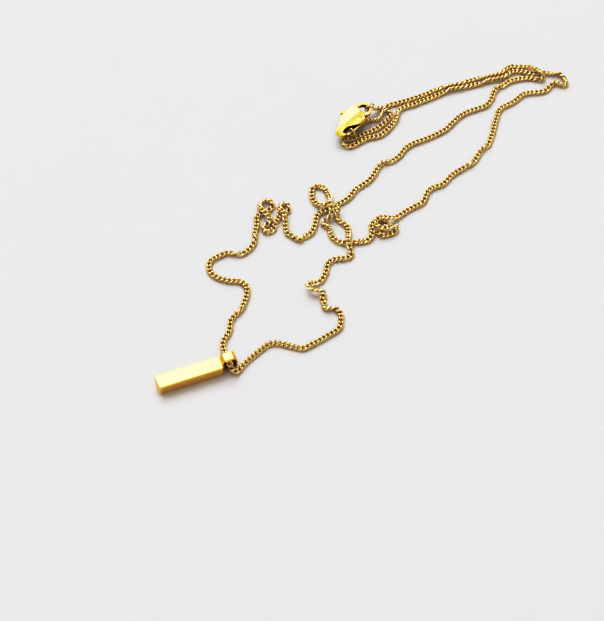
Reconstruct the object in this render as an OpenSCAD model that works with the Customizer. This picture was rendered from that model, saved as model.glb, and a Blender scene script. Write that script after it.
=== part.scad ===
// Bar pendant on a fine curb chain with a lobster clasp, lying as it was laid on a table.
// Millimetres. Z = 0 is the table, X runs to the right and Y away from the viewer.

/* [Bar] */
// Length of the bar
bar_length = 15.3; // [12:0.1:15.6]
// Width of the bar's upper face
bar_width = 3.7; // [2.8:0.1:4.4]
// Thickness of the bar
bar_thickness = 2.6; // [2.2:0.1:3]
// Bevel that breaks the bar's sharp edges
bar_bevel = 0.12; // [0.04:0.02:0.4]
// Turn of the bar on the table, measured from X
bar_turn = 21; // [15:0.5:27]

/* [Bail] */
// Outer size of the bail, along the bar and in height
bail_outer = 3.7; // [3.4:0.1:3.8]
// Wall of the bail
bail_wall = 0.45; // [0.35:0.05:0.5]
// Radius of the bail's outer corners
bail_corner = 1.2; // [0.9:0.1:1.5]
// Width of the bail along its hole
bail_width = 2.2; // [1.2:0.1:2.2]
// Height of the bail's centre above the table
bail_height = 2.2; // [2:0.05:2.3]
// Depth that the solder joint sinks the bail into the bar's end
bail_seat = 0.15; // [0.05:0.05:0.2]
// Gap under the chain where it runs through the bail
bail_gap = 0.05; // [0.02:0.01:0.1]

/* [Chain] */
// Width of the chain lying flat
chain_width = 1.4; // [1:0.1:1.4]
// Thickness of the chain
chain_thickness = 1; // [0.8:0.05:1]

/* [Clasp] */
// Distance from the claw's tip to the centre of the eye
clasp_reach = 10.4; // [9.6:0.1:11]
// Half of the clasp's width at its shoulders
clasp_half = 2.65; // [2.5:0.05:2.8]
// Thickness of the clasp at its ridges
clasp_thickness = 2.2; // [2:0.1:2.3]
// Outer diameter of the eye
eye_outer = 3.9; // [3.7:0.1:4.2]
// Wall of the eye
eye_wall = 0.65; // [0.5:0.05:0.7]
// Height of the eye's band
eye_height = 1.3; // [1:0.1:1.5]
// Turn of the clasp on the table, measured from X
clasp_turn = 48; // [40:1:56]
// Tilt of the clasp toward the viewer
clasp_tilt = 10; // [4:1:12]
// Height of the clasp's middle plane above the table
clasp_lift = 2.8; // [2.7:0.05:3.2]

/* [Lever] */
// Thickness of the lever
lever_thickness = 0.8; // [0.6:0.05:0.9]
// Width of the lever's arm across the claw's mouth
lever_arm = 0.5; // [0.4:0.02:0.54]
// Width of the thumb nub
nub_width = 1.2; // [0.8:0.1:1.3]
// How far the thumb nub stands out of the body
nub_reach = 1.1; // [0.8:0.1:1.5]
// Diameter of the lever's pin
pin_diameter = 0.7; // [0.5:0.05:0.8]
// Radial running clearance between pin and lever
pin_clearance = 0.04; // [0.02:0.01:0.08]
// Gap on each side of the lever in its slot
slot_gap = 0.1; // [0.06:0.01:0.14]

/* [Rings] */
// Outer diameter of the jump ring in the clasp's eye
jump_outer = 3; // [2.9:0.05:3.2]
// Wire of the jump ring
jump_wire = 0.42; // [0.3:0.02:0.44]
// Outer diameter of the end ring held in the claw
end_outer = 2.5; // [2.4:0.05:2.6]
// Wire of the end ring
end_wire = 0.4; // [0.3:0.02:0.42]

/* [Hidden] */
gold = [0.86, 0.68, 0.30];
chain_sides = 8;
round_fn = 48;
wire_fn = 24;
over = 0.5;

// The route of the chain's left half, from the bail to the jump ring.
// Columns: x, y, height of the underside in chain thicknesses, roll of the flat chain.
left_route = [
    [-33.9, -42.7, 1, 0], [-34.3, -41.7, 1, 0], [-34.7, -40.3, 0.5, 0], [-35.1, -38.7, 0.1, 0],
    [-35.4, -37.1, 0, 0], [-35, -35.4, 0, 0], [-34.2, -34, 0, 0], [-33.8, -32.3, 0, 0], [-33.8, -30.7, 0, 0],
    [-32.4, -28.3, 0, 50], [-31.6, -27.5, 0, 130], [-30.5, -24.5, 0, 180], [-30.1, -22.6, 0, 180],
    [-30.1, -21, 0, 180], [-30.8, -19.8, 0, 180], [-32.2, -19, 0, 180], [-34, -18.9, 0, 180],
    [-35.8, -18.5, 0, 180], [-37.6, -17.6, 0, 180], [-38.8, -16.3, 0, 180], [-39.2, -14.6, 0, 180],
    [-38.9, -13, 0, 180], [-36.4, -11.2, 0, 180], [-34.9, -10.6, 0, 180], [-33.6, -10.8, 0, 160],
    [-32.6, -11.1, 0, 70], [-31.4, -10.8, 0, 0], [-29.2, -8.7, 0, 0], [-28.3, -5.9, 0.05, 60],
    [-28.6, -4.5, 0, 0], [-28.2, -3, 0, 0], [-28.1, -1.5, 0, 0], [-28.2, 0, 0, 0],
    [-27.6, 1.1, 0, 0], [-24.7, 2.9, 0, 20], [-24.4, 4, 0, 60], [-25.2, 5, 0, 80],
    [-26.3, 5.1, 0, 80], [-27.3, 4.4, 0.15, 60], [-27.6, 3.1, 0.55, 20], [-27.1, 1.9, 1.1, 0],
    [-25.7, 0.3, 0.9, 0], [-24.9, -0.7, 0.5, 0], [-25.3, -1.8, 0.1, 20], [-26.6, -2.8, 0, 80],
    [-26.3, -4, 0, 80], [-25.3, -4.4, 0, 70], [-24.3, -3.7, 0, 20], [-23.6, -1.4, 0, 40],
    [-22.5, 0.9, 0, 10], [-20.7, 2, 0, 50], [-20.5, 3.2, 0, 80], [-21.3, 4.2, 0, 90],
    [-22.3, 3.9, 0, 85], [-22.7, 2.8, 0.3, 60], [-22.5, 1.9, 1, 20], [-21.9, 1, 1.2, 0],
    [-21.4, -0.4, 0.95, 0], [-21.3, -1.6, 0.3, 0], [-20.9, -4.5, 0, 0], [-19.8, -5.4, 0, 0],
    [-17.9, -6.7, 0, 85], [-17, -6.1, 0, 60], [-15.9, -5.2, 0, 0], [-14.9, -4.2, 0, 0],
    [-14, -1.3, 0, 0], [-13.8, 0.2, 0, 0], [-13.2, 1.4, 0, 0], [-10.8, 2.8, 0, 0],
    [-9.6, 3.7, 0, 0], [-6.6, 5.7, 0, 0], [-5.3, 7.2, 0, 0], [-4.4, 8.8, 0, 0],
    [-1.2, 11.5, 0, 0], [0.1, 13.3, 0, 0], [1, 15.2, 0, 0], [2, 16.8, 0, 60],
    [2.9, 17.4, 0, 90], [4, 17.5, 0, 60], [5.4, 18.4, 0, 0], [6.9, 19.9, 0, 0],
    [8, 21.7, 0, 0], [9.6, 23.3, 0, 0], [11.9, 24.5, 0, 0], [14.2, 25.6, 0, 0],
    [16.6, 27, 0, 0], [18.7, 28.6, 0, 0], [20.3, 30.5, 0, 0], [22, 32.5, 0, 0],
    [24.2, 34.1, 0, 0], [26.7, 35.2, 0, 0], [29, 36.3, 0, 0], [30.2, 37.9, 0, 0],
    [31.7, 41.6, 0, 20], [32.6, 42.5, 0, 80], [33.8, 43.1, 0, 40], [35, 44.2, 0, 0],
    [36.8, 45.1, 0, 0], [40.7, 45.7, 0, 0], [42.3, 45.3, 0, 40], [43.3, 45.1, 0, 80],
    [44.1, 45.6, 0.3, 90], [43.7, 46.5, 0.95, 60], [42.8, 47.2, 1.25, 20], [40.8, 49, 0.6, 0],
    [39.4, 49.5, 0.1, 0], [37.9, 49.6, 0, 0], [36.3, 49.7, 0, 0], [34.9, 49, 0, 0],
    [34, 47.9, 0, 50], [32.7, 46.9, 0, 90], [29.2, 45.9, 0.15, 60], [25.2, 44.7, 0, 0],
    [21.4, 43.2, 0, 90], [19.6, 42.9, 0.05, 60], [18, 42.3, 0, 10], [16.5, 41.4, 0.25, 30],
    [15.1, 40.8, 0, 0], [13.4, 39.9, 0, 0], [9.6, 38.2, 0, 0], [6, 36.9, 0, 0],
    [4.4, 36.3, 0, 0], [3.1, 35.6, 0, 50], [1.9, 34.9, 0.3, 90], [0.9, 34.4, 0.8, 90]
];

// The route of the chain's right half, from the bail to the end ring in the claw.
// Columns: x, y, height of the underside in chain thicknesses, roll of the flat chain.
right_route = [
    [-33.9, -42.7, 1, 0], [-33.5, -43.7, 1, 0], [-32.9, -44.5, 0.5, 20], [-32.1, -44.6, 0.1, 50],
    [-31.3, -43.8, 0, 30], [-30.6, -42.8, 0, 40], [-29.2, -41.1, 0, 40],
    [-27.4, -39.3, 0, 40], [-25.8, -37.7, 0, 40],
    [-24.2, -36.8, 0, 40], [-22.2, -36.9, 0, 40], [-18.4, -38, 0, 40], [-17, -38.1, 0, 10],
    [-15.2, -37.1, 0, 0], [-13.2, -35.8, 0, 0], [-11.2, -34.4, 0, 0], [-9.6, -33.3, 0, 0],
    [-8.5, -32, 0, 0], [-8.3, -30.1, 0, 0], [-8.4, -28.4, 0, 0], [-9.3, -27.1, 0, 20],
    [-10.6, -26.9, 0, 70], [-11.6, -27.2, 0, 70], [-12.2, -26.4, 0, 40], [-12.2, -25.2, 0, 10],
    [-12.7, -24, 0, 0], [-12, -23.1, 0.1, 40], [-12.8, -22.3, 0.4, 60], [-14.7, -22.3, 0.85, 60],
    [-15.7, -21.8, 1.1, 75], [-16.1, -21, 1, 75], [-15.5, -20.2, 0.6, 60], [-14.2, -19.7, 0.1, 20],
    [-12.8, -18.8, 0, 0], [-12.1, -17.4, 0, 0], [-11.5, -15.9, 0, 0], [-11.4, -14.4, 0, 0],
    [-10.8, -13.2, 0, 0], [-9.4, -12.5, 0, 0], [-6.4, -12, 0, 0], [-5.6, -11, 0, 0],
    [-5.9, -9.7, 0.4, 0], [-6.2, -8.6, 1, 0], [-6.3, -6.5, 0.9, 0], [-6.2, -5.2, 0.3, 0],
    [-6.5, -2.6, 0, 0], [-8.4, -0.9, 0, 30], [-8.9, 0.3, 0.2, 50], [-8.6, 1.5, 0.95, 20],
    [-9.5, 2.5, 1.2, 0], [-10.6, 2.9, 1.2, 0], [-11.9, 3.1, 1.1, 0], [-13.1, 3.8, 0.4, 0],
    [-14.2, 4.9, 0, 0], [-14.8, 6.3, 0, 0], [-14.9, 7.8, 0, 0], [-14.7, 9.2, 0, 20],
    [-13.8, 9.7, 0, 80], [-12, 9.3, 0, 0], [-11.3, 8.2, 0, 0], [-10.5, 5.5, 0.95, 20],
    [-10.7, 2.9, 2.35, 0], [-10.1, 0.8, 1.6, 0], [-10.5, -0.1, 0.9, 0], [-11.4, -0.7, 0.3, 40],
    [-12.2, -1.3, 0.1, 80], [-12.2, -2.2, 0, 85], [-11.3, -2.7, 0, 80], [-10.7, -3.6, 0, 30],
    [-10.4, -5.1, 0, 0], [-9.7, -6.3, 0, 0], [-8.6, -7.2, 0, 0], [-7.2, -7.6, 0, 0],
    [-5.8, -7.5, 0, 0], [-3, -7.3, 0, 40], [-1.7, -6.8, 0, 0], [-1, -6.1, 0, 0],
    [-0.4, -4.5, 0, 20], [-0.7, -2.6, 0, 0], [0, -1.1, 0, 0], [1.3, -0.5, 0, 0],
    [2.5, -0.9, 0, 0], [2.8, -2.2, 0, 10], [1.7, -3.4, 0, 20], [1, -4.5, 0, 60],
    [1.8, -5.4, 0, 70], [3.2, -5, 0, 30], [4.5, -4.5, 0, 30], [5.3, -3.5, 0.25, 30],
    [4.6, -3.1, 0.75, 20], [3.3, -3.9, 1.25, 0], [2, -4.2, 1.35, 0], [0.8, -3.6, 1.4, 20],
    [0.3, -2.6, 1.2, 50], [0.5, -1.6, 1.1, 50], [1.4, -0.9, 1.2, 20], [2.5, -0.8, 1.25, 0],
    [4.1, -0.6, 0.9, 0], [5.4, 0.1, 0.2, 0], [6.8, 1.3, 0, 0], [8.6, 2.7, 0, 0],
    [10.4, 3.9, 0, 0], [11.8, 4.8, 0, 0], [13.4, 8.4, 0, 0], [14.9, 9.7, 0, 0],
    [16.9, 10.5, 0, 0], [19.3, 13.4, 0, 0], [21, 14.8, 0, 0], [22.8, 16.1, 0, 20],
    [24, 16.7, 0, 90], [24.9, 17.7, 0, 20], [26.9, 21.3, 0, 50], [27.7, 22.1, 0, 90],
    [28.6, 23, 0, 20], [30, 26.8, 0, 0], [30.6, 29.1, 0, 0], [31.2, 31.4, 0, 0],
    [32.6, 35.3, 0, 0], [35.9, 37.5, 0, 0], [38.9, 40.3, 0, 0], [42.8, 40.9, 0, 0],
    [44.4, 41.4, 0, 20], [45.5, 42.7, 0, 30], [46.6, 43.8, 0, 80], [47.8, 43.6, 0, 80],
    [49, 43.1, 0, 70], [49.9, 43.8, 0, 80], [49.6, 45, 0, 40], [49.2, 46.2, 0.05, 30],
    [48.2, 47, 0, 80], [46.8, 47.2, 0, 40], [43.6, 47.6, 0, 0], [42, 47.2, 0, 0],
    [38.8, 48, 0, 0], [37.1, 48.1, 0, 0], [35.8, 47.6, 0, 0], [34.9, 46.6, 0, 40],
    [33.5, 45.6, 0, 90], [31.8, 45.1, 0, 90], [30, 44.7, 0, 90], [28, 43.9, 0, 20],
    [26, 43.2, 0, 0], [22, 42, 0, 90], [20.2, 41.6, 0, 90], [18.5, 40.8, 0, 0],
    [15.6, 39.1, 0, 0], [12.4, 37.5, 0, 0], [10.6, 36.5, 0, 0], [8.9, 35.9, 0, 0],
    [7.6, 35.2, 0, 0], [6.7, 34, 0, 60], [6.5, 32.5, 0, 60], [5.8, 30.9, 0, 10],
    [4.1, 28.3, 0, 0], [2.1, 26.3, 0, 0], [-1.1, 25.4, 0, 0], [-4.1, 23.4, 0, 0],
    [-5.6, 22.7, 0, 0], [-6.8, 23.1, 0, 60], [-7.1, 24.2, 0, 70], [-6.2, 25, 0, 40],
    [-4.9, 25.1, 0, 0], [-1.9, 26.7, 0, 0], [1, 28.3, 0, 0], [2.4, 29.5, 0, 0],
    [4.4, 31.8, 0, 50], [5, 33.3, 0, 60], [4.2, 34.3, 0, 80], [3.1, 34.1, 0, 90],
    [2.5, 32.8, 0, 80], [1.9, 31.8, 0, 70], [1, 31.4, 0, 50], [-0.9, 31.4, 0, 0],
    [-3.5, 29.3, 0, 0], [-4.4, 28.1, 0, 0], [-4.9, 26.9, 0.3, 0]
];

// Where the claw's tip lies over the table.
clasp_at = [-8.9, 24.85];

// Outline of the claw and body seen from above, from the claw's end round the tip.
// Columns: share of the reach along the clasp, share of the half width across it.
body_outline = [
    [0.12, -0.85], [0.07, -0.77], [0.02, -0.58], [0.00, -0.30], [0.00, -0.04],
    [0.03, 0.15], [0.11, 0.26], [0.21, 0.42], [0.31, 0.58], [0.38, 0.79],
    [0.46, 0.94], [0.60, 1.00], [0.79, 1.00], [0.90, 0.91], [0.99, 0.70],
    [0.90, -0.10], [0.86, -0.45], [0.79, -0.98], [0.66, -1.00], [0.59, -0.92],
    [0.51, -0.76], [0.42, -0.58], [0.33, -0.40], [0.24, -0.34], [0.15, -0.36],
    [0.11, -0.46], [0.11, -0.60], [0.13, -0.72]
];

// Facets of the body cut across it. Columns: share of the half width, share of the half thickness.
cross_facets = [
    [-1.05, 0.62], [-0.80, 0.90], [-0.34, 0.90], [0.06, 1.00], [1.02, 0.64],
    [1.02, -0.62], [0.55, -1.00], [-0.70, -1.00], [-1.05, -0.62]
];

// Side profile of the body. Columns: share of the reach, share of the half thickness.
side_profile = [
    [-0.02, 0.30], [0.03, 0.54], [0.13, 0.80], [0.32, 1.00], [0.86, 1.00], [0.93, 0.72], [0.99, 0.55],
    [0.99, -0.55], [0.86, -1.00], [0.14, -1.00], [-0.02, -0.50]
];

// Slot for the lever between the body's two cheeks. Columns: share of the reach, share of the half width.
slot_outline = [
    [0.44, -1.2], [0.47, -0.62], [0.60, -0.40], [0.60, 0.10], [0.49, 0.70],
    [0.49, 1.2], [0.86, 1.2], [0.86, -1.2]
];

pivot = [0.75 * clasp_reach, -0.45 * clasp_half];
arm_line = -0.94 * clasp_half;
arm_start = 0.145 * clasp_reach;
hub_radius = 0.095 * clasp_reach;
nub_x = 0.57 * clasp_reach;
nub_y = clasp_half + nub_reach - nub_width / 2;
eye_centre = [clasp_reach, 0, 0];
eye_bore = eye_outer / 2 - eye_wall;
pin_length = 0.86 * clasp_thickness;
end_ring_at = [0.31 * clasp_reach, arm_line + 0.1, 0];
jump_turn = -13;
jump_shift = 0.15;

function unit(v) = v / norm(v);

function half_height(roll) =
    norm([chain_width / 2 * sin(roll), chain_thickness / 2 * cos(roll)]);

// The first two rows lie in the bail, on its inner wall.
function underside(route, i) =
    i < 2 ? bail_height - bail_outer / 2 + bail_wall + bail_gap : route[i][2] * chain_thickness;

function middle(route, i) =
    [route[i][0], route[i][1], underside(route, i) + half_height(route[i][3])];

function heading(route, i) =
    unit(middle(route, min(i + 1, len(route) - 1)) - middle(route, max(i - 1, 0)));

function ring_point(centre, ahead, roll, angle) =
    let (
        side = unit(cross([0, 0, 1], ahead)),
        up = cross(ahead, side),
        u = chain_width / 2 * cos(angle),
        v = chain_thickness / 2 * sin(angle)
    )
    centre + side * (u * cos(roll) - v * sin(roll)) + up * (u * sin(roll) + v * cos(roll));

function chain_rings(route) = [
    for (i = [0 : len(route) - 1])
        for (k = [0 : chain_sides - 1])
            ring_point(middle(route, i), heading(route, i), route[i][3], 360 * k / chain_sides)
];

function side_faces(count) = [
    for (i = [0 : count - 2])
        for (k = [0 : chain_sides - 1])
            let (
                a = i * chain_sides + k,
                b = i * chain_sides + (k + 1) % chain_sides,
                c = b + chain_sides,
                d = a + chain_sides
            )
            each [[c, b, a], [d, c, a]]
];

module chain_tube(route) {
    count = len(route);
    first = [for (k = [0 : chain_sides - 1]) k];
    last = [for (k = [chain_sides - 1 : -1 : 0]) (count - 1) * chain_sides + k];
    polyhedron(points = chain_rings(route),
               faces = concat([first, last], side_faces(count)), convexity = 10);
}

module wire_ring(outer, wire) {
    rotate_extrude($fn = round_fn)
        translate([(outer - wire) / 2, 0])
            circle(d = wire, $fn = wire_fn);
}

module bevelled_bar() {
    low = bar_bevel;
    hull() {
        translate([low, low, 0])
            cube([bar_length - 2 * low, bar_width - 2 * low, bar_thickness]);
        translate([low, 0, low])
            cube([bar_length - 2 * low, bar_width, bar_thickness - 2 * low]);
        translate([0, low, low])
            cube([bar_length, bar_width - 2 * low, bar_thickness - 2 * low]);
    }
}

bail_reach = bar_length + bail_outer / 2 - bail_seat;

module rounded_square(size, corner) {
    offset(r = corner, $fn = round_fn)
        square(size - 2 * corner, center = true);
}

module place_on_bail() {
    translate([left_route[0][0], left_route[0][1], bail_height])
        rotate([0, 0, bar_turn])
            children();
}

module pendant_bar() {
    color(gold)
        place_on_bail()
            difference() {
                union() {
                    translate([-bail_reach, -bar_width / 2, -bail_height])
                        bevelled_bar();
                    rotate([90, 0, 0])
                        linear_extrude(bail_width, center = true)
                            rounded_square(bail_outer, bail_corner);
                }
                rotate([90, 0, 0])
                    linear_extrude(bar_width + 2 * over, center = true)
                        rounded_square(bail_outer - 2 * bail_wall, bail_corner - bail_wall);
            }
}

module chain_left() {
    color(gold) chain_tube(left_route);
}

module chain_right() {
    color(gold) chain_tube(right_route);
}

module place_clasp() {
    translate([clasp_at[0], clasp_at[1], clasp_lift])
        rotate([clasp_tilt, 0, clasp_turn])
            children();
}

module scaled_polygon(table, along, across) {
    polygon([for (row = table) [row[0] * along, row[1] * across]]);
}

module body_blank() {
    intersection() {
        translate([0, 0, -clasp_thickness])
            linear_extrude(2 * clasp_thickness)
                scaled_polygon(body_outline, clasp_reach, clasp_half);
        rotate([90, 0, 90])
            translate([0, 0, -over])
                linear_extrude(clasp_reach + 2 * over)
                    scaled_polygon(cross_facets, clasp_half, clasp_thickness / 2);
        rotate([90, 0, 0])
            translate([0, 0, -2 * clasp_half])
                linear_extrude(4 * clasp_half)
                    scaled_polygon(side_profile, clasp_reach, clasp_thickness / 2);
    }
}

module clasp_body() {
    color(gold)
        place_clasp()
            difference() {
                union() {
                    body_blank();
                    translate(eye_centre)
                        cylinder(d = eye_outer, h = eye_height, center = true, $fn = round_fn);
                }
                translate(eye_centre)
                    cylinder(r = eye_bore, h = 2 * clasp_thickness, center = true, $fn = round_fn);
                translate([0, 0, -lever_thickness / 2 - slot_gap])
                    linear_extrude(lever_thickness + 2 * slot_gap)
                        scaled_polygon(slot_outline, clasp_reach, clasp_half);
                translate([pivot[0], pivot[1], 0])
                    cylinder(d = pin_diameter, h = 2 * clasp_thickness, center = true, $fn = round_fn);
            }
}

module lever_outline() {
    outer = arm_line - lever_arm / 2;
    inner = arm_line + lever_arm / 2;
    taper = 0.12 * clasp_half;
    polygon([
        [arm_start, outer + taper],
        [arm_start + 1.5 * lever_arm, outer + 0.3 * taper],
        [arm_start + 4 * lever_arm, outer],
        [pivot[0] - 0.2 * hub_radius, outer],
        [pivot[0] + 0.6 * hub_radius, pivot[1] - 0.8 * hub_radius],
        [pivot[0] - 0.9 * hub_radius, pivot[1] + 0.3 * hub_radius],
        [pivot[0] - 1.2 * hub_radius, inner + 0.5 * hub_radius],
        [pivot[0] - 2.2 * hub_radius, inner],
        [arm_start + 4 * lever_arm, inner],
        [arm_start, inner + 0.7 * taper]
    ]);
    translate(pivot)
        circle(r = hub_radius, $fn = round_fn);
    polygon([
        [pivot[0] - 0.95 * hub_radius, pivot[1] + 0.3 * hub_radius],
        [pivot[0] + 0.3 * hub_radius, pivot[1] + 0.95 * hub_radius],
        [nub_x + nub_width / 2, nub_y],
        [nub_x - nub_width / 2, nub_y]
    ]);
    translate([nub_x, nub_y])
        circle(d = nub_width, $fn = round_fn);
}

module clasp_lever() {
    color(gold)
        place_clasp()
            difference() {
                translate([0, 0, -lever_thickness / 2])
                    linear_extrude(lever_thickness)
                        lever_outline();
                translate([pivot[0], pivot[1], 0])
                    cylinder(r = pin_diameter / 2 + pin_clearance, h = 2 * lever_thickness,
                             center = true, $fn = round_fn);
            }
}

module clasp_pin() {
    color(gold)
        place_clasp()
            translate([pivot[0], pivot[1], 0])
                cylinder(d = pin_diameter, h = pin_length, center = true, $fn = round_fn);
}

module clasp_ring() {
    color(gold)
        place_clasp()
            translate(eye_centre)
                rotate([0, 0, jump_turn])
                    translate([(eye_outer - eye_wall) / 2 + jump_shift, 0, 0])
                        rotate([90, 0, 0])
                            wire_ring(jump_outer, jump_wire);
}

module end_ring() {
    color(gold)
        place_clasp()
            translate(end_ring_at)
                rotate([0, 90, 0])
                    wire_ring(end_outer, end_wire);
}

pendant_bar();
clasp_body();
clasp_lever();
clasp_pin();
clasp_ring();
end_ring();
chain_left();
chain_right();
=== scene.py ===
import math

import bmesh
import bpy
import numpy as np
from mathutils import Matrix, Vector


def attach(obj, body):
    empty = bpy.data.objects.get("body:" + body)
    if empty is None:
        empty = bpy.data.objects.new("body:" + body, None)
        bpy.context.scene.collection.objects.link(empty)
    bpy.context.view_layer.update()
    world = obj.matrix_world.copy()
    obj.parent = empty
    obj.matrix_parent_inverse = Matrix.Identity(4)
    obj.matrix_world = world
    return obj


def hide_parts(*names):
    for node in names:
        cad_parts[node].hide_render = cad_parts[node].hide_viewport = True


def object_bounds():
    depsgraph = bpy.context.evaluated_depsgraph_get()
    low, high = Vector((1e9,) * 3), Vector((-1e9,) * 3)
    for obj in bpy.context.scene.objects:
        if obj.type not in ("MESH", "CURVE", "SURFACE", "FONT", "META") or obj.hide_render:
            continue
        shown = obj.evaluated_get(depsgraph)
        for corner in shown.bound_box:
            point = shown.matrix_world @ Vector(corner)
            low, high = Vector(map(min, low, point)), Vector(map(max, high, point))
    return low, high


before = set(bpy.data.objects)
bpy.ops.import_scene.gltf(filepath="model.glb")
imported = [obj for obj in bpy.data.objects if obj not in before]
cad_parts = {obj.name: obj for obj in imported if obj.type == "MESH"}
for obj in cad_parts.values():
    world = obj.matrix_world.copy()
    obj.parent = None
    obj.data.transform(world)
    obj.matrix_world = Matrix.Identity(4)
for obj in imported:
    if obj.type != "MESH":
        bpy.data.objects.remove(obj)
cad_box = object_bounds()
MM = 0.001

# The chain.
# A fine curb chain of soldered wire links, twisted so that they nest and lie flat, then polished.
# It runs in two halves from the bail, one to the jump ring and one to the end ring in the claw.
CHAIN_WIDTH = 1.4
CHAIN_THICKNESS = 1.0
LINK_PITCH = 1.11
LINK_WIRE = 0.48
LINK_TWIST = 57
LINK_STEPS = 24
WIRE_SIDES = 8
BAIL_FLOOR = 0.85

# Columns: x, y, height of the underside in chain thicknesses, roll of the flat chain in degrees.
# The last row of each half brings its last link onto the wire of its ring.
left_route = [
    (-33.9, -42.7, 1, 0), (-34.3, -41.7, 1, 0), (-34.7, -40.3, 0.5, 0), (-35.1, -38.7, 0.1, 0),
    (-35.4, -37.1, 0, 0), (-35, -35.4, 0, 0), (-34.2, -34, 0, 0), (-33.8, -32.3, 0, 0),
    (-33.8, -30.7, 0, 0), (-32.4, -28.3, 0, 50), (-31.6, -27.5, 0, 130), (-30.5, -24.5, 0, 180),
    (-30.1, -22.6, 0, 180), (-30.1, -21, 0, 180), (-30.8, -19.8, 0, 180), (-32.2, -19, 0, 180),
    (-34, -18.9, 0, 180), (-35.8, -18.5, 0, 180), (-37.6, -17.6, 0, 180), (-38.8, -16.3, 0, 180),
    (-39.2, -14.6, 0, 180), (-38.9, -13, 0, 180), (-36.4, -11.2, 0, 180), (-34.9, -10.6, 0, 180),
    (-33.6, -10.8, 0, 160), (-32.6, -11.1, 0, 70), (-31.4, -10.8, 0, 0), (-29.2, -8.7, 0, 0),
    (-28.3, -5.9, 0.05, 60), (-28.6, -4.5, 0, 0), (-28.2, -3, 0, 0), (-28.1, -1.5, 0, 0),
    (-28.2, 0, 0, 0), (-27.6, 1.1, 0, 0), (-24.7, 2.9, 0, 20), (-24.4, 4, 0, 60),
    (-25.2, 5, 0, 80), (-26.3, 5.1, 0, 80), (-27.3, 4.4, 0.15, 60), (-27.6, 3.1, 0.55, 20),
    (-27.1, 1.9, 1.1, 0), (-25.7, 0.3, 0.9, 0), (-24.9, -0.7, 0.5, 0), (-25.3, -1.8, 0.1, 20),
    (-26.6, -2.8, 0, 80), (-26.3, -4, 0, 80), (-25.3, -4.4, 0, 70), (-24.3, -3.7, 0, 20),
    (-23.6, -1.4, 0, 40), (-22.5, 0.9, 0, 10), (-20.7, 2, 0, 50), (-20.5, 3.2, 0, 80),
    (-21.3, 4.2, 0, 90), (-22.3, 3.9, 0, 85), (-22.7, 2.8, 0.3, 60), (-22.5, 1.9, 1, 20),
    (-21.9, 1, 1.2, 0), (-21.4, -0.4, 0.95, 0), (-21.3, -1.6, 0.3, 0), (-20.9, -4.5, 0, 0),
    (-19.8, -5.4, 0, 0), (-17.9, -6.7, 0, 85), (-17, -6.1, 0, 60), (-15.9, -5.2, 0, 0),
    (-14.9, -4.2, 0, 0), (-14, -1.3, 0, 0), (-13.8, 0.2, 0, 0), (-13.2, 1.4, 0, 0),
    (-10.8, 2.8, 0, 0), (-9.6, 3.7, 0, 0), (-6.6, 5.7, 0, 0), (-5.3, 7.2, 0, 0), (-4.4, 8.8, 0, 0),
    (-1.2, 11.5, 0, 0), (0.1, 13.3, 0, 0), (1, 15.2, 0, 0), (2, 16.8, 0, 60), (2.9, 17.4, 0, 90),
    (4, 17.5, 0, 60), (5.4, 18.4, 0, 0), (6.9, 19.9, 0, 0), (8, 21.7, 0, 0), (9.6, 23.3, 0, 0),
    (11.9, 24.5, 0, 0), (14.2, 25.6, 0, 0), (16.6, 27, 0, 0), (18.7, 28.6, 0, 0),
    (20.3, 30.5, 0, 0), (22, 32.5, 0, 0), (24.2, 34.1, 0, 0), (26.7, 35.2, 0, 0), (29, 36.3, 0, 0),
    (30.2, 37.9, 0, 0), (31.7, 41.6, 0, 20), (32.6, 42.5, 0, 80), (33.8, 43.1, 0, 40),
    (35, 44.2, 0, 0), (36.8, 45.1, 0, 0), (40.7, 45.7, 0, 0), (42.3, 45.3, 0, 40),
    (43.3, 45.1, 0, 80), (44.1, 45.6, 0.3, 90), (43.7, 46.5, 0.95, 60), (42.8, 47.2, 1.25, 20),
    (40.8, 49, 0.6, 0), (39.4, 49.5, 0.1, 0), (37.9, 49.6, 0, 0), (36.3, 49.7, 0, 0),
    (34.9, 49, 0, 0), (34, 47.9, 0, 50), (32.7, 46.9, 0, 90), (29.2, 45.9, 0.15, 60),
    (25.2, 44.7, 0, 0), (21.4, 43.2, 0, 90), (19.6, 42.9, 0.05, 60), (18, 42.3, 0, 10),
    (16.5, 41.4, 0.25, 30), (15.1, 40.8, 0, 0), (13.4, 39.9, 0, 0), (9.6, 38.2, 0, 0),
    (6, 36.9, 0, 0), (4.4, 36.3, 0, 0), (3.1, 35.6, 0, 50), (1.9, 34.9, 0.3, 90),
    (0.9, 34.4, 0.8, 60),
    (0, 34.2, 1.3, 25),
]
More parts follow.
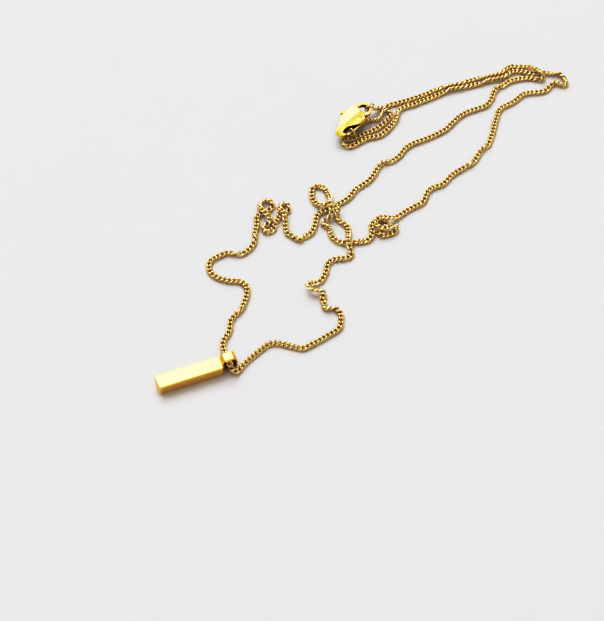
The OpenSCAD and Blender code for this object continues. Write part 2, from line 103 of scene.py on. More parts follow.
right_route = [
    (-33.9, -42.7, 1, 0), (-33.5, -43.7, 1, 0), (-32.9, -44.5, 0.5, 20), (-32.1, -44.6, 0.1, 50),
    (-31.3, -43.8, 0, 30), (-30.6, -42.8, 0, 40), (-29.2, -41.1, 0, 40), (-27.4, -39.3, 0, 40),
    (-25.8, -37.7, 0, 40), (-24.2, -36.8, 0, 40), (-22.2, -36.9, 0, 40), (-18.4, -38, 0, 40),
    (-17, -38.1, 0, 10), (-15.2, -37.1, 0, 0), (-13.2, -35.8, 0, 0), (-11.2, -34.4, 0, 0),
    (-9.6, -33.3, 0, 0), (-8.5, -32, 0, 0), (-8.3, -30.1, 0, 0), (-8.4, -28.4, 0, 0),
    (-9.3, -27.1, 0, 20), (-10.6, -26.9, 0, 70), (-11.6, -27.2, 0, 70), (-12.2, -26.4, 0, 40),
    (-12.2, -25.2, 0, 10), (-12.7, -24, 0, 0), (-12, -23.1, 0.1, 40), (-12.8, -22.3, 0.4, 60),
    (-14.7, -22.3, 0.85, 60), (-15.7, -21.8, 1.1, 75), (-16.1, -21, 1, 75), (-15.5, -20.2, 0.6, 60),
    (-14.2, -19.7, 0.1, 20), (-12.8, -18.8, 0, 0), (-12.1, -17.4, 0, 0), (-11.5, -15.9, 0, 0),
    (-11.4, -14.4, 0, 0), (-10.8, -13.2, 0, 0), (-9.4, -12.5, 0, 0), (-6.4, -12, 0, 0),
    (-5.6, -11, 0, 0), (-5.9, -9.7, 0.4, 0), (-6.2, -8.6, 1, 0), (-6.3, -6.5, 0.9, 0),
    (-6.2, -5.2, 0.3, 0), (-6.5, -2.6, 0, 0), (-8.4, -0.9, 0, 30), (-8.9, 0.3, 0.2, 50),
    (-8.6, 1.5, 0.95, 20), (-9.5, 2.5, 1.2, 0), (-10.6, 2.9, 1.2, 0), (-11.9, 3.1, 1.1, 0),
    (-13.1, 3.8, 0.4, 0), (-14.2, 4.9, 0, 0), (-14.8, 6.3, 0, 0), (-14.9, 7.8, 0, 0),
    (-14.7, 9.2, 0, 20), (-13.8, 9.7, 0, 80), (-12, 9.3, 0, 0), (-11.3, 8.2, 0, 0),
    (-10.5, 5.5, 0.95, 20), (-10.7, 2.9, 2.35, 0), (-10.1, 0.8, 1.6, 0), (-10.5, -0.1, 0.9, 0),
    (-11.4, -0.7, 0.3, 40), (-12.2, -1.3, 0.1, 80), (-12.2, -2.2, 0, 85), (-11.3, -2.7, 0, 80),
    (-10.7, -3.6, 0, 30), (-10.4, -5.1, 0, 0), (-9.7, -6.3, 0, 0), (-8.6, -7.2, 0, 0),
    (-7.2, -7.6, 0, 0), (-5.8, -7.5, 0, 0), (-3, -7.3, 0, 40), (-1.7, -6.8, 0, 0), (-1, -6.1, 0, 0),
    (-0.4, -4.5, 0, 20), (-0.7, -2.6, 0, 0), (0, -1.1, 0, 0), (1.3, -0.5, 0, 0), (2.5, -0.9, 0, 0),
    (2.8, -2.2, 0, 10), (1.7, -3.4, 0, 20), (1, -4.5, 0, 60), (1.8, -5.4, 0, 70),
    (3.2, -5, 0, 30), (4.5, -4.5, 0, 30), (5.3, -3.5, 0.25, 30), (4.6, -3.1, 0.75, 20),
    (3.3, -3.9, 1.25, 0), (2, -4.2, 1.35, 0), (0.8, -3.6, 1.4, 20), (0.3, -2.6, 1.2, 50),
    (0.5, -1.6, 1.1, 50), (1.4, -0.9, 1.2, 20), (2.5, -0.8, 1.25, 0), (4.1, -0.6, 0.9, 0),
    (5.4, 0.1, 0.2, 0), (6.8, 1.3, 0, 0), (8.6, 2.7, 0, 0), (10.4, 3.9, 0, 0), (11.8, 4.8, 0, 0),
    (13.4, 8.4, 0, 0), (14.9, 9.7, 0, 0), (16.9, 10.5, 0, 0), (19.3, 13.4, 0, 0), (21, 14.8, 0, 0),
    (22.8, 16.1, 0, 20), (24, 16.7, 0, 90), (24.9, 17.7, 0, 20), (26.9, 21.3, 0, 50),
    (27.7, 22.1, 0, 90), (28.6, 23, 0, 20), (30, 26.8, 0, 0), (30.6, 29.1, 0, 0),
    (31.2, 31.4, 0, 0), (32.6, 35.3, 0, 0), (35.9, 37.5, 0, 0), (38.9, 40.3, 0, 0),
    (42.8, 40.9, 0, 0), (44.4, 41.4, 0, 20), (45.5, 42.7, 0, 30), (46.6, 43.8, 0, 80),
    (47.8, 43.6, 0, 80), (49, 43.1, 0, 70), (49.9, 43.8, 0, 80), (49.6, 45, 0, 40),
    (49.2, 46.2, 0.05, 30), (48.2, 47, 0, 80), (46.8, 47.2, 0, 40), (43.6, 47.6, 0, 0),
    (42, 47.2, 0, 0), (38.8, 48, 0, 0), (37.1, 48.1, 0, 0), (35.8, 47.6, 0, 0), (34.9, 46.6, 0, 40),
    (33.5, 45.6, 0, 90), (31.8, 45.1, 0, 90), (30, 44.7, 0, 90), (28, 43.9, 0, 20),
    (26, 43.2, 0, 0), (22, 42, 0, 90), (20.2, 41.6, 0, 90), (18.5, 40.8, 0, 0), (15.6, 39.1, 0, 0),
    (12.4, 37.5, 0, 0), (10.6, 36.5, 0, 0), (8.9, 35.9, 0, 0), (7.6, 35.2, 0, 0),
    (6.7, 34, 0, 60), (6.5, 32.5, 0, 60), (5.8, 30.9, 0, 10), (4.1, 28.3, 0, 0), (2.1, 26.3, 0, 0),
    (-1.1, 25.4, 0, 0), (-4.1, 23.4, 0, 0), (-5.6, 22.7, 0, 0), (-6.8, 23.1, 0, 60),
    (-7.1, 24.2, 0, 70), (-6.2, 25, 0, 40), (-4.9, 25.1, 0, 0), (-1.9, 26.7, 0, 0), (1, 28.3, 0, 0),
    (2.4, 29.5, 0, 0), (4.4, 31.8, 0, 50), (5, 33.3, 0, 60), (4.2, 34.3, 0, 80),
    (3.1, 34.1, 0, 90), (2.5, 32.8, 0, 80), (1.9, 31.8, 0, 70), (1, 31.4, 0, 50),
    (-0.9, 31.4, 0, 0), (-3.5, 29.3, 0, 0), (-4.4, 28.1, 0, 0), (-4.9, 26.9, 0.3, 30),
    (-5.2, 25.6, 0.8, 66),
]


def route_middles(route):
    """The chain's middle at each row in millimetres, with its roll. The first two rows lie in the bail."""
    rows = []
    for i, (x, y, under, roll) in enumerate(route):
        lean = math.radians(roll)
        half = math.hypot(CHAIN_WIDTH / 2 * math.sin(lean), CHAIN_THICKNESS / 2 * math.cos(lean))
        floor = BAIL_FLOOR if i < 2 else under * CHAIN_THICKNESS
        rows.append((x, y, floor + half, roll))
    return np.array(rows)


def smooth_route(rows, steps_between=40):
    """A Catmull-Rom curve through the rows, with knots spaced by the root of the distance."""
    padded = np.vstack([2 * rows[0] - rows[1], rows, 2 * rows[-1] - rows[-2]])
    points = []
    for i in range(1, len(padded) - 2):
        p0, p1, p2, p3 = padded[i - 1:i + 3]
        knots = [0.0]
        for a, b in ((p0, p1), (p1, p2), (p2, p3)):
            knots.append(knots[-1] + math.sqrt(np.linalg.norm(b[:3] - a[:3])))
        t0, t1, t2, t3 = knots
        for t in np.linspace(t1, t2, steps_between, endpoint=False):
            a1 = p0 * (t1 - t) / (t1 - t0) + p1 * (t - t0) / (t1 - t0)
            a2 = p1 * (t2 - t) / (t2 - t1) + p2 * (t - t1) / (t2 - t1)
            a3 = p2 * (t3 - t) / (t3 - t2) + p3 * (t - t2) / (t3 - t2)
            b1 = a1 * (t2 - t) / (t2 - t0) + a2 * (t - t0) / (t2 - t0)
            b2 = a2 * (t3 - t) / (t3 - t1) + a3 * (t - t1) / (t3 - t1)
            points.append(b1 * (t2 - t) / (t2 - t1) + b2 * (t - t1) / (t2 - t1))
    points.append(padded[-2])
    return np.array(points)


def unit(v):
    """The vector's direction, one long."""
    return v / np.linalg.norm(v)


def link_shape():
    """One twisted link about the origin, its length along x: rings of wire points in millimetres."""
    end_radius = (CHAIN_WIDTH - LINK_WIRE) / 2
    half_length = (LINK_PITCH + LINK_WIRE) / 2
    straight = half_length - end_radius
    round_trip = 4 * straight + 2 * math.pi * end_radius

    def centre(s):
        """The wire's middle after going the distance s round the link, twisted about the link's length."""
        s = s % round_trip
        if s < 2 * straight:
            x, y = s - straight, -end_radius
        elif s < 2 * straight + math.pi * end_radius:
            turn = (s - 2 * straight) / end_radius - math.pi / 2
            x, y = straight + end_radius * math.cos(turn), end_radius * math.sin(turn)
        elif s < 4 * straight + math.pi * end_radius:
            x, y = 3 * straight + math.pi * end_radius - s, end_radius
        else:
            turn = (s - 4 * straight - math.pi * end_radius) / end_radius + math.pi / 2
            x, y = -straight + end_radius * math.cos(turn), end_radius * math.sin(turn)
        twist = -math.radians(LINK_TWIST) * x / half_length
        return np.array([x, y * math.cos(twist), y * math.sin(twist)])

    rings = []
    for i in range(LINK_STEPS):
        s = round_trip * i / LINK_STEPS
        here = centre(s)
        along = unit(centre(s + 0.01) - centre(s - 0.01))
        out = unit(here - along * np.dot(here, along))
        across = np.cross(along, out)
        for k in range(WIRE_SIDES):
            angle = 2 * math.pi * k / WIRE_SIDES
            rings.append(here + LINK_WIRE / 2 * (out * math.cos(angle) + across * math.sin(angle)))
    return np.array(rings)


def link_faces():
    """The quads between one link's rings of wire points."""
    faces = []
    for i in range(LINK_STEPS):
        j = (i + 1) % LINK_STEPS
        for k in range(WIRE_SIDES):
            m = (k + 1) % WIRE_SIDES
            faces.append((i * WIRE_SIDES + k, i * WIRE_SIDES + m,
                          j * WIRE_SIDES + m, j * WIRE_SIDES + k))
    return np.array(faces)


def mesh_object(name, points_mm, faces, smooth=True):
    """A new object in the scene from points in millimetres and faces."""
    mesh = bpy.data.meshes.new(name)
    mesh.from_pydata([tuple(p * MM) for p in points_mm], [], [tuple(int(v) for v in f) for f in faces])
    mesh.polygons.foreach_set("use_smooth", [smooth] * len(mesh.polygons))
    mesh.update()
    piece = bpy.data.objects.new(name, mesh)
    bpy.context.scene.collection.objects.link(piece)
    return piece


def curb_chain(name, route):
    """Links at an even pitch along the route, each turned to lie along it and rolled as its rows say."""
    path = smooth_route(route_middles(route))
    steps = np.linalg.norm(np.diff(path[:, :3], axis=0), axis=1)
    reach = np.concatenate([[0], np.cumsum(steps)])
    count = round(reach[-1] / LINK_PITCH)
    pitch = reach[-1] / count
    shape = link_shape()
    faces = link_faces()

    def at(distance):
        """The route's x, y, z and roll after this distance along it."""
        distance = min(max(distance, 0), reach[-1])
        return np.array([np.interp(distance, reach, path[:, column]) for column in range(4)])

    points = []
    all_faces = []
    for i in range(count):
        s = (i + 0.5) * pitch
        here = at(s)
        along = unit(at(s + pitch / 2)[:3] - at(s - pitch / 2)[:3])
        side = unit(np.cross([0, 0, 1], along))
        up = np.cross(along, side)
        lean = math.radians(here[3])
        flat = side * math.cos(lean) + up * math.sin(lean)
        face = up * math.cos(lean) - side * math.sin(lean)
        all_faces.append(faces + i * len(shape))
        points.append(here[:3] + shape[:, :1] * along + shape[:, 1:2] * flat + shape[:, 2:3] * face)
    # Where a tilted link would dip a little into the table, its wire is worn flat instead.
    kept = np.clip(np.vstack(points), np.array(cad_box[0]) / MM, np.array(cad_box[1]) / MM)
    return mesh_object(name, kept, np.vstack(all_faces))


def linear(hex_colour):
    """An sRGB hex colour as linear red, green, blue and alpha."""
    channels = [int(hex_colour[i:i + 2], 16) / 255 for i in (1, 3, 5)]
    return [c / 12.92 if c <= 0.04045 else ((c + 0.055) / 1.055) ** 2.4 for c in channels] + [1.0]


def add_node(tree, kind, settings=None, inputs=None):
    """Adds a node, sets its properties, and fills or links its inputs by name or index."""
    node = tree.nodes.new(kind)
    for key, value in (settings or {}).items():
        setattr(node, key, value)
    for key, value in (inputs or {}).items():
        socket = node.inputs[key]
        if isinstance(value, bpy.types.NodeSocket):
            tree.links.new(value, socket)
        else:
            socket.default_value = value
    return node


def drawn_gold_wire():
    """Yellow gold wire, drawn, soldered and tumbled bright: small sharp highlights, and painted brown shade
    between links.
    """
    material = bpy.data.materials.new("drawn_gold_wire")
    material.use_nodes = True
    tree = material.node_tree
    shader = tree.nodes["Principled BSDF"]
    shader.inputs["Metallic"].default_value = 1.0
    shader.inputs["Specular Tint"].default_value = linear("#ffd870")
    place = add_node(tree, "ShaderNodeTexCoord")
    # Painted shade: where other metal is within about 0.5 mm, between the links, the base colour is darkened
    # to a dull brown that stands in for the shade there.
    painted_shade = add_node(tree, "ShaderNodeAmbientOcclusion", {"samples": 8}, {"Distance": 0.5 * MM})
    reach = add_node(tree, "ShaderNodeMapRange", inputs={"Value": painted_shade.outputs["AO"], "From Min": 0.36,
                                                         "From Max": 0.86})
    tone = add_node(tree, "ShaderNodeMix", {"data_type": "RGBA"},
                    {0: reach.outputs["Result"], 6: linear("#c49408"), 7: linear("#f3e6c8")})
    tree.links.new(tone.outputs[2], shader.inputs["Base Color"])
    # Tumbling leaves each link a little brighter or duller than the next, over about 2 mm.
    patches = add_node(tree, "ShaderNodeTexNoise", inputs={"Vector": place.outputs["Object"],
                                                           "Scale": 1 / (2 * MM), "Detail": 2})
    gloss = add_node(tree, "ShaderNodeMapRange", inputs={"Value": patches.outputs["Fac"], "From Min": 0.3,
                                                         "From Max": 0.7, "To Min": 0.14, "To Max": 0.26})
    tree.links.new(gloss.outputs["Result"], shader.inputs["Roughness"])
    return material


wire_gold = drawn_gold_wire()
left_chain = curb_chain("left_chain", left_route)
right_chain = curb_chain("right_chain", right_route)
for piece, node in ((left_chain, "chain_left"), (right_chain, "chain_right")):
    piece.data.materials.append(wire_gold)
    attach(piece, "necklace")
    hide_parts(node)

# The bar.
# A solid bar of gilt brass, filed square and lapped flat, with its upright edges rounded over.
# It lies on its lower face, and the bail is soldered to its far end.
BAR_LENGTH = 15.3
BAR_WIDTH = 3.7
BAR_THICKNESS = 2.6
BAR_EDGE = 0.24
BAR_CORNER = 0.55
EDGE_STEPS = 6
BAR_TURN = 21
BAIL_PLACE = Vector((-33.9, -42.7, 2.2))
BAIL_SIZE = 3.7
BAIL_SEAT = 0.15
pendant_place = Matrix.Translation(BAIL_PLACE) @ Matrix.Rotation(math.radians(BAR_TURN), 4, "Z")


def moved(points, place):
    """Points in millimetres, moved by a placing matrix in millimetres."""
    return np.array([place @ Vector(p) for p in points])


def even_shading(piece):
    """Flat faces keep their own shading where they meet rounded edges."""
    shading = piece.modifiers.new("even_shading", "WEIGHTED_NORMAL")
    shading.mode = "FACE_AREA"
    shading.weight = 100


def lapped_gold():
    """Gilt brass lapped along the bar: fine long lines that spread the window's light into an even satin."""
    material = bpy.data.materials.new("lapped_gold")
    material.use_nodes = True
    tree = material.node_tree
    shader = tree.nodes["Principled BSDF"]
    shader.inputs["Metallic"].default_value = 1.0
    place = add_node(tree, "ShaderNodeTexCoord")
    along = add_node(tree, "ShaderNodeMapping", inputs={"Vector": place.outputs["Object"],
                                                        "Rotation": (0, 0, -math.radians(BAR_TURN))})
    # Lapping lines are about 0.07 mm apart and some 4 mm long.
    stretch = add_node(tree, "ShaderNodeVectorMath", {"operation": "MULTIPLY"},
                       {0: along.outputs["Vector"], 1: (1 / (4 * MM), 1 / (0.07 * MM), 1 / (0.07 * MM))})
    lines = add_node(tree, "ShaderNodeTexNoise", inputs={"Vector": stretch.outputs["Vector"], "Scale": 1.0,
                                                         "Detail": 3, "Roughness": 0.6})
    gloss = add_node(tree, "ShaderNodeMapRange", inputs={"Value": lines.outputs["Fac"], "From Min": 0.3,
                                                         "From Max": 0.7, "To Min": 0.20, "To Max": 0.28})
    tree.links.new(gloss.outputs["Result"], shader.inputs["Roughness"])
    scratch = add_node(tree, "ShaderNodeBump", inputs={"Height": lines.outputs["Fac"], "Strength": 0.06,
                                                       "Distance": 0.02 * MM})
    tree.links.new(scratch.outputs["Normal"], shader.inputs["Normal"])
    # The plating is a touch paler in some places than in others, over about 5 mm.
    patches = add_node(tree, "ShaderNodeTexNoise", inputs={"Vector": place.outputs["Object"],
                                                           "Scale": 1 / (5 * MM), "Detail": 1})
    tone = add_node(tree, "ShaderNodeMix", {"data_type": "RGBA"},
                    {0: patches.outputs["Fac"], 6: linear("#fbd883"), 7: linear("#fddc8b")})
    tree.links.new(tone.outputs[2], shader.inputs["Base Color"])
    return material


far_end = -BAIL_SIZE / 2 + BAIL_SEAT
near_end = far_end - BAR_LENGTH
under = -BAIL_PLACE.z
corners = [(x, y, z) for x in (near_end, far_end) for y in (-BAR_WIDTH / 2, BAR_WIDTH / 2)
           for z in (under, under + BAR_THICKNESS)]
bar = mesh_object("bar", moved(corners, pendant_place),
                  [(0, 1, 3, 2), (4, 6, 7, 5), (0, 4, 5, 1), (2, 3, 7, 6), (0, 2, 6, 4), (1, 5, 7, 3)])
shape = bmesh.new()
shape.from_mesh(bar.data)
# The four upright edges are filed rounder than the edges of the two broad faces.
upright = [e for e in shape.edges if abs(e.verts[0].co.z - e.verts[1].co.z) > BAR_THICKNESS / 2 * MM]
bmesh.ops.bevel(shape, geom=upright, offset=BAR_CORNER * MM, segments=EDGE_STEPS, profile=0.5,
                affect="EDGES")
rims = [e for e in shape.edges if abs(e.verts[0].co.z - e.verts[1].co.z) < BAR_EDGE / 2 * MM]
bmesh.ops.bevel(shape, geom=rims, offset=BAR_EDGE * MM, segments=EDGE_STEPS, profile=0.5,
                affect="EDGES")
bmesh.ops.recalc_face_normals(shape, faces=shape.faces)
for face in shape.faces:
    face.smooth = True
shape.to_mesh(bar.data)
shape.free()
even_shading(bar)
bar.data.materials.append(lapped_gold())
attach(bar, "necklace")
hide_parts("pendant_bar")

# The bail.
# A wide strip of the same metal, bent to a loop with a flat top, soldered shut and polished.
# It is soldered to the bar's end, and the chain runs through it.
BAIL_WALL = 0.45
BAIL_CORNER = 1.2
BAIL_WIDTH = 2.2
BAIL_RIM = 0.12


def rounded_square(size, corner, corner_steps=16, side_steps=6):
    """Points and outward directions round a square with rounded corners, anticlockwise."""
    rows = []
    flat = size / 2 - corner
    for quarter in range(4):
        start = quarter * math.pi / 2
        centre = np.array([flat * math.copysign(1, math.cos(start + math.pi / 4)),
                           flat * math.copysign(1, math.sin(start + math.pi / 4))])
        for step in range(corner_steps + 1):
            angle = start + step / corner_steps * math.pi / 2
            out = np.array([math.cos(angle), math.sin(angle)])
            rows.append((centre + corner * out, out))
        last, out = rows[-1]
        ahead = np.array([-out[1], out[0]])
        for step in range(1, side_steps):
            rows.append((last + ahead * 2 * flat * step / side_steps, out))
    return rows


def rounded_strip(depth, width, radius, steps=4):
    """The strip's own cross-section: depth below the outer face, and place across the width."""
    deep = depth - radius
    side = width / 2 - radius
    rows = []
    for centre_d, centre_w, start in ((deep, side, 0), (radius, side, 90), (radius, -side, 180),
                                      (deep, -side, 270)):
        for step in range(steps + 1):
            angle = math.radians(start + 90 * step / steps)
            rows.append((centre_d + radius * math.cos(angle), centre_w + radius * math.sin(angle)))
    return rows


def ring_faces(rows, sides):
    """Quads over a closed ring of closed cross-sections."""
    return [(i * sides + k, i * sides + (k + 1) % sides, (i + 1) % rows * sides + (k + 1) % sides,
             (i + 1) % rows * sides + k) for i in range(rows) for k in range(sides)]


def polished_strip():
    """Gilt strip, polished outside: clear soft reflections, and painted brown shade inside the loop."""
    material = bpy.data.materials.new("polished_strip")
    material.use_nodes = True
    tree = material.node_tree
    shader = tree.nodes["Principled BSDF"]
    shader.inputs["Metallic"].default_value = 1.0
    # Painted shade: where the strip faces itself within about 2.5 mm, inside the loop, the base colour is
    # darkened to brown.
    painted_shade = add_node(tree, "ShaderNodeAmbientOcclusion", {"samples": 8}, {"Distance": 2.5 * MM})
    reach = add_node(tree, "ShaderNodeMapRange", inputs={"Value": painted_shade.outputs["AO"], "From Min": 0.25,
                                                         "From Max": 0.70})
    tone = add_node(tree, "ShaderNodeMix", {"data_type": "RGBA"},
                    {0: reach.outputs["Result"], 6: linear("#5c3810"), 7: linear("#fbd98a")})
    tree.links.new(tone.outputs[2], shader.inputs["Base Color"])
    place = add_node(tree, "ShaderNodeTexCoord")
    # Wear from the chain and the fingers, over about 0.6 mm.
    wear = add_node(tree, "ShaderNodeTexNoise", inputs={"Vector": place.outputs["Object"],
                                                        "Scale": 1 / (0.6 * MM), "Detail": 3})
    gloss = add_node(tree, "ShaderNodeMapRange", inputs={"Value": wear.outputs["Fac"], "From Min": 0.3,
                                                         "From Max": 0.7, "To Min": 0.18, "To Max": 0.28})
    tree.links.new(gloss.outputs["Result"], shader.inputs["Roughness"])
    return material


loop = rounded_square(BAIL_SIZE, BAIL_CORNER)
strip = rounded_strip(BAIL_WALL, BAIL_WIDTH, BAIL_RIM)
bail_points = [((point - out * depth)[0], across, (point - out * depth)[1])
               for point, out in loop for depth, across in strip]
bail = mesh_object("bail", moved(bail_points, pendant_place), ring_faces(len(loop), len(strip)))
even_shading(bail)
bail.data.materials.append(polished_strip())
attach(bail, "necklace")
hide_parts("pendant_bar")

# The clasp.
# A lobster clasp of gilt brass: a cast body with the claw and the eye, and a cast lever on a riveted pin.
# The castings are tumbled, so their facets meet in soft edges.
CASTING_GRAIN = 0.055
CLAW_TUMBLING = 8
LEVER_TUMBLING = 5
CLASP_PLACE = (-8.9, 24.85, 2.8)
CLASP_TURN = 48
CLASP_TILT = 10
PIVOT = (7.8, -1.1925)
PIN_DIAMETER = 0.7
PIN_LENGTH = 1.892
clasp_place = (Matrix.Translation(CLASP_PLACE) @ Matrix.Rotation(math.radians(CLASP_TURN), 4, "Z")
               @ Matrix.Rotation(math.radians(CLASP_TILT), 4, "X"))


def tumbled_casting(name, node, rounds):
    """A copy of a plain solid with a fine even mesh, whose edges are softened as tumbling does."""
    rough = bpy.data.objects.new(name + "_rough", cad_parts[node].data.copy())
    bpy.context.scene.collection.objects.link(rough)
    skin = rough.modifiers.new("skin", "REMESH")
    skin.mode = "VOXEL"
    skin.voxel_size = CASTING_GRAIN * MM
    skin.use_smooth_shade = True
    tumble = rough.modifiers.new("tumble", "SMOOTH")
    tumble.factor = 0.5
    tumble.iterations = rounds
    bpy.context.view_layer.update()
    made = bpy.data.meshes.new_from_object(rough.evaluated_get(bpy.context.evaluated_depsgraph_get()))
    made.materials.clear()
    bpy.data.objects.remove(rough)
    piece = bpy.data.objects.new(name, made)
    bpy.context.scene.collection.objects.link(piece)
    return piece


def tumbled_gold():
    """Cast gilt brass, tumbled bright: broad soft reflections, and painted brown shade in the recesses."""
    material = bpy.data.materials.new("tumbled_gold")
    material.use_nodes = True
    tree = material.node_tree
    shader = tree.nodes["Principled BSDF"]
    shader.inputs["Metallic"].default_value = 1.0
    place = add_node(tree, "ShaderNodeTexCoord")
    # Painted shade: where other metal is within about 3 mm, as in the claw's mouth, the base colour is
    # darkened to brown.
    painted_shade = add_node(tree, "ShaderNodeAmbientOcclusion", {"samples": 8}, {"Distance": 3 * MM})
    reach = add_node(tree, "ShaderNodeMapRange", inputs={"Value": painted_shade.outputs["AO"], "From Min": 0.44,
                                                         "From Max": 0.97})
    tone = add_node(tree, "ShaderNodeMix", {"data_type": "RGBA"},
                    {0: reach.outputs["Result"], 6: linear("#5a3e0a"), 7: linear("#fbda90")})
    tree.links.new(tone.outputs[2], shader.inputs["Base Color"])
    # Castings keep a slight waviness of about 0.9 mm after tumbling.
    waves = add_node(tree, "ShaderNodeTexNoise", inputs={"Vector": place.outputs["Object"],
                                                         "Scale": 1 / (0.9 * MM), "Detail": 2})
    skin = add_node(tree, "ShaderNodeBump", inputs={"Height": waves.outputs["Fac"], "Strength": 0.35,
                                                    "Distance": 0.05 * MM})
    tree.links.new(skin.outputs["Normal"], shader.inputs["Normal"])
    gloss = add_node(tree, "ShaderNodeMapRange", inputs={"Value": waves.outputs["Fac"], "From Min": 0.3,
                                                         "From Max": 0.7, "To Min": 0.30, "To Max": 0.38})
    tree.links.new(gloss.outputs["Result"], shader.inputs["Roughness"])
    return material


clasp_gold = tumbled_gold()
claw = tumbled_casting("claw", "clasp_body", CLAW_TUMBLING)
lever = tumbled_casting("lever", "clasp_lever", LEVER_TUMBLING)
for piece, node, body in ((claw, "clasp_body", "necklace"), (lever, "clasp_lever", "lever")):
    piece.data.materials.append(clasp_gold)
    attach(piece, body)
    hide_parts(node)

# The pin's profile from its end inward: distance along it and radius, with a riveted dome at each end.
pin_profile = [(PIN_LENGTH / 2, 0.02), (PIN_LENGTH / 2 - 0.005, 0.10), (PIN_LENGTH / 2 - 0.02, 0.20),
               (PIN_LENGTH / 2 - 0.05, 0.29), (PIN_LENGTH / 2 - 0.11, PIN_DIAMETER / 2)]
pin_profile += [(-z, r) for z, r in reversed(pin_profile)]
PIN_SIDES = 40
pin_points = [(PIVOT[0] + r * math.cos(2 * math.pi * k / PIN_SIDES),
               PIVOT[1] + r * math.sin(2 * math.pi * k / PIN_SIDES), z)
              for z, r in pin_profile for k in range(PIN_SIDES)]
rows = len(pin_profile)
pin_faces = []
for i in range(rows - 1):
    here = i * PIN_SIDES
    ahead = here + PIN_SIDES
    for k in range(PIN_SIDES):
        m = (k + 1) % PIN_SIDES
        pin_faces.append((ahead + k, ahead + m, here + m, here + k))
pin_faces += [tuple(range(PIN_SIDES)), tuple(range(rows * PIN_SIDES - 1, (rows - 1) * PIN_SIDES - 1, -1))]
pin = mesh_object("pin", moved(pin_points, clasp_place), pin_faces)
pin.data.materials.append(clasp_gold)
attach(pin, "necklace")
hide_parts("clasp_pin")

# The jump ring and the end ring.
# Rings of drawn gilt wire. The jump ring is bent shut through the clasp's eye, and its cut shows as a
# fine seam. The end ring is soldered shut through the chain's last link and hooked in the claw.
JUMP_OUTER = 3.0
JUMP_WIRE = 0.42
END_OUTER = 2.5
END_WIRE = 0.40
EYE_CENTRE = (10.4, 0, 0)
EYE_MIDDLE = 1.625
JUMP_TURN = -13
JUMP_SHIFT = 0.15
JUMP_SEAM = 0.29
SEAM_DEPTH = 0.16
SEAM_SPREAD = 1.1
RING_STEPS = 120
RING_SIDES = 16
END_RING_PLACE = (3.224, -2.391, 0)


def wire_ring(name, outer, wire, place, seam=None):
    """A ring of round wire about its own Z axis. At the seam, a share of the way round, the wire is filed."""
    middle = (outer - wire) / 2
    points = []
    for i in range(RING_STEPS):
        angle = 2 * math.pi * i / RING_STEPS
        thick = wire / 2
        if seam is not None:
            thick *= 1 - SEAM_DEPTH * math.exp(-((i - RING_STEPS * seam) / SEAM_SPREAD) ** 2)
        for k in range(RING_SIDES):
            turn = 2 * math.pi * k / RING_SIDES
            reach = middle + thick * math.cos(turn)
            points.append((reach * math.cos(angle), reach * math.sin(angle), thick * math.sin(turn)))
    return mesh_object(name, moved(points, place), ring_faces(RING_STEPS, RING_SIDES))


jump_place = (clasp_place @ Matrix.Translation(EYE_CENTRE)
              @ Matrix.Rotation(math.radians(JUMP_TURN), 4, "Z")
              @ Matrix.Translation((EYE_MIDDLE + JUMP_SHIFT, 0, 0))
              @ Matrix.Rotation(math.radians(90), 4, "X"))
end_place = clasp_place @ Matrix.Translation(END_RING_PLACE) @ Matrix.Rotation(math.radians(90), 4, "Y")
jump_ring = wire_ring("jump_ring", JUMP_OUTER, JUMP_WIRE, jump_place, JUMP_SEAM)
end_ring = wire_ring("end_link_ring", END_OUTER, END_WIRE, end_place)
for piece, node in ((jump_ring, "clasp_ring"), (end_ring, "end_ring")):
    piece.data.materials.append(wire_gold)
    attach(piece, "necklace")
    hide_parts(node)

# The table, the light and the camera.
# A plain pale table under soft daylight that comes mostly from behind and the left.
# The camera stands above the near edge and looks down at the angle of the photograph.
TABLE_SIZE = 3.0


def matt_paper():
    """Matt off-white paper: an even surface that takes a soft shadow."""
    material = bpy.data.materials.new("matt_paper")
    material.use_nodes = True
    tree = material.node_tree
    shader = tree.nodes["Principled BSDF"]
    # Painted light: close to the metal the paper's colour is painted warmer, standing in for gold light
    # reflected onto it.
    near = add_node(tree, "ShaderNodeAmbientOcclusion", {"samples": 8}, {"Distance": 1.0 * MM})
    tone = add_node(tree, "ShaderNodeMix", {"data_type": "RGBA"},
                    {0: near.outputs["AO"], 6: linear("#f3e4cc"), 7: linear("#dee0e6")})
    tree.links.new(tone.outputs[2], shader.inputs["Base Color"])
    shader.inputs["Roughness"].default_value = 0.9
    shader.inputs["Specular IOR Level"].default_value = 0.2
    shader.subsurface_method = "BURLEY"
    shader.inputs["Subsurface Weight"].default_value = 0.7
    shader.inputs["Subsurface Radius"].default_value = (1.0, 0.95, 0.9)
    shader.inputs["Subsurface Scale"].default_value = 2 * MM
    return material


half = TABLE_SIZE / 2
table = mesh_object("table", np.array([[-half, -half, 0], [half, -half, 0], [half, half, 0],
                                       [-half, half, 0]]) / MM, [(0, 1, 2, 3)], smooth=False)
table.data.materials.append(matt_paper())

world = bpy.data.worlds.new("daylight")
bpy.context.scene.world = world
world.use_nodes = True
sky = world.node_tree
sky.nodes.clear()
BRIGHT_SIDE = (-0.15, 0.62, 0.77)
direction = add_node(sky, "ShaderNodeTexCoord")
toward = add_node(sky, "ShaderNodeVectorMath", {"operation": "DOT_PRODUCT"},
                  {0: direction.outputs["Generated"], 1: BRIGHT_SIDE})
# Tints of the room: the paper is lit by its pale walls, and the metal mirrors more of its warm wood.
WALLS = (1.10, 1.0, 0.88)
WOOD = (1.18, 1.13, 0.56)
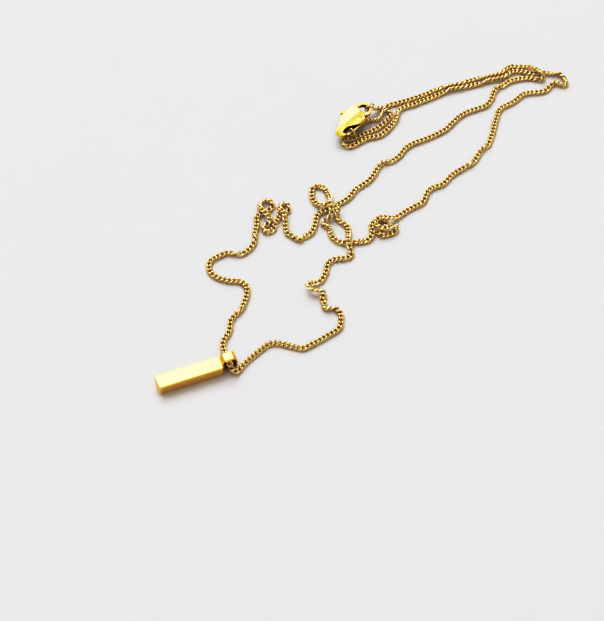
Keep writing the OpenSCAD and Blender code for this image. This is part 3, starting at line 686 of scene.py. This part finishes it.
# Columns: place from the dark side (0) to the bright side (1), brightness, share of the room's tint.
SKY_BANDS = [(0.0, 0.40, 1), (0.50, 0.38, 1), (0.80, 0.36, 1), (0.91, 0.44, 0.8), (0.945, 1.15, 0),
             (0.97, 1.8, 0), (1.0, 1.9, 0)]
share = add_node(sky, "ShaderNodeMapRange", inputs={"Value": toward.outputs["Value"], "From Min": -1.0,
                                                    "From Max": 1.0})


def sky_ramp(room_tint):
    """The sky's bands from the room behind the viewer to the bright side, tinted where they show the room."""
    bands = add_node(sky, "ShaderNodeValToRGB", inputs={"Fac": share.outputs["Result"]})
    ramp = bands.color_ramp
    while len(ramp.elements) < len(SKY_BANDS):
        ramp.elements.new(0.5)
    for element, (place, level, warmth) in zip(ramp.elements, SKY_BANDS):
        element.position = place
        element.color = [level * (1 + warmth * (tint - 1)) for tint in room_tint] + [1]
    return bands.outputs["Color"]


ray = add_node(sky, "ShaderNodeLightPath")
seen = add_node(sky, "ShaderNodeMix", {"data_type": "RGBA"},
                {0: ray.outputs["Is Glossy Ray"], 6: sky_ramp(WALLS), 7: sky_ramp(WOOD)})
glow = add_node(sky, "ShaderNodeBackground", inputs={"Color": seen.outputs[2], "Strength": 1.0})
add_node(sky, "ShaderNodeOutputWorld", inputs={"Surface": glow.outputs["Background"]})

WINDOW_DISTANCE = 1.8


def window(name, direction, size, watts, colour):
    """A round window that shines on the middle of the table from this direction."""
    data = bpy.data.lights.new(name, "AREA")
    data.shape = "DISK"
    data.size = size
    data.energy = watts
    data.color = linear(colour)[:3]
    light = bpy.data.objects.new(name, data)
    out = Vector(direction).normalized()
    light.location = out * WINDOW_DISTANCE
    light.rotation_euler = out.to_track_quat("Z", "Y").to_euler()
    bpy.context.scene.collection.objects.link(light)
    return light


window("window", (-0.39, 0.44, 0.81), 0.35, 3.5, "#fffcf6")
# A second window low behind lays soft shadows toward the viewer. It is kept out of the metal's reflections.
back_window = window("back_window", (-0.10, 0.76, 0.64), 0.5, 4.2, "#f2f6ff")
back_window.visible_glossy = False

CAMERA_PLACE = Vector((-17.3, -278.5, 346)) * MM
CAMERA_DOWN = 54
camera_data = bpy.data.cameras.new("camera")
camera_data.sensor_fit = "HORIZONTAL"
camera_data.sensor_width = 36
camera_data.lens = 110
camera_data.clip_start = 0.01
camera = bpy.data.objects.new("camera", camera_data)
camera.location = CAMERA_PLACE
camera.rotation_euler = (math.radians(90 - CAMERA_DOWN), 0, 0)
bpy.context.scene.collection.objects.link(camera)
bpy.context.scene.camera = camera
view = bpy.context.scene.view_settings
view.view_transform = "Standard"
# The photograph's contrast: dark tones are deepened, and highlights roll off before they turn white.
# Columns: the light's level, and the level at which it is shown.
TONES = [(0.0, 0.0), (0.05, 0.020), (0.12, 0.060), (0.17, 0.10), (0.24, 0.19), (0.31, 0.31), (0.38, 0.46),
         (0.45, 0.61), (0.52, 0.74), (0.60, 0.84), (0.80, 0.91), (1.2, 0.97)]
view.use_curve_mapping = True
curve = view.curve_mapping.curves[3]
for level, shown in TONES[1:-1]:
    curve.points.new(level, shown)
curve.points[-1].location = TONES[-1]
view.curve_mapping.update()
